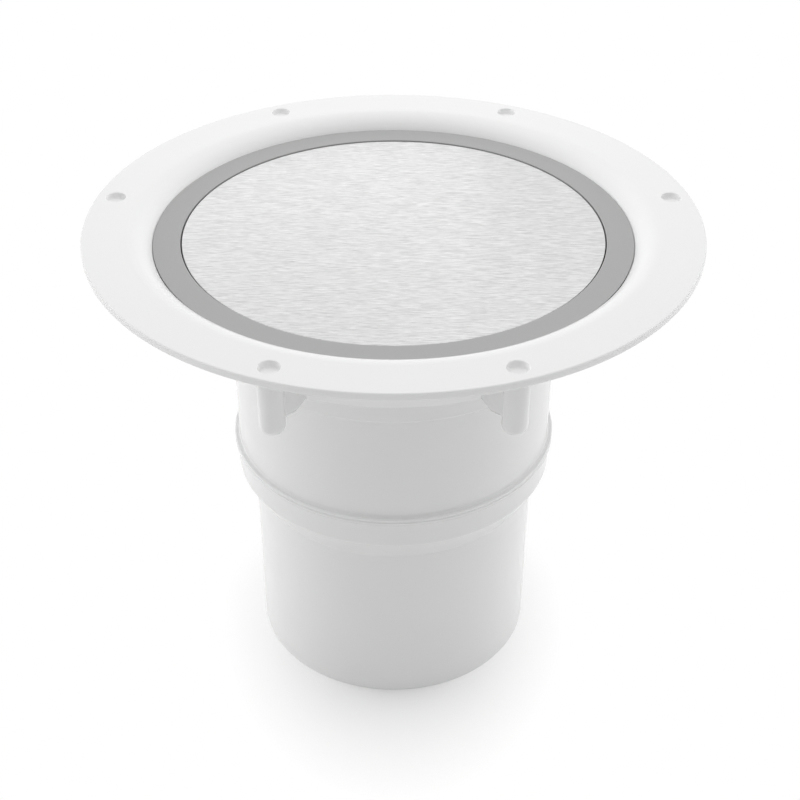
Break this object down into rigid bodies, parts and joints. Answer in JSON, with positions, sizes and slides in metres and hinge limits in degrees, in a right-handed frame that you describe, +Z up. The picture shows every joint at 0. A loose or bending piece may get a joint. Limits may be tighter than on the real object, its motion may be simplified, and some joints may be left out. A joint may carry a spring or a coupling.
{
  "type": "floor drain",
  "caption": "Flanged floor drain with a pipe spigot below, a clamp ring and solid steel cover in its bowl, and a lift-out water trap inside.",
  "frame": {"origin": "centre of the spigot's lower end", "axes": "+Z up along the drain's axis, +X along the cover's brushing, -Y towards the closer pair of screw holes"},
  "size_m": [0.2214, 0.2214, 0.1835],
  "materials": {
    "white_plastic": "satin moulded polypropylene",
    "grey_plastic": "satin moulded polypropylene",
    "brushed_steel": "straight brushed stainless steel",
    "trap_plastic": "plain moulded polypropylene",
    "seal_rubber": "matt rubber"
  },
  "bodies": {
    "root": {"drain_body": "white_plastic", "outlet_spigot": "white_plastic", "clamp_ring": "grey_plastic", "cover_plate": "brushed_steel", "trap_funnel": "trap_plastic", "trap_cup": "trap_plastic", "trap_seal": "seal_rubber"}
  },
  "joints": []
}
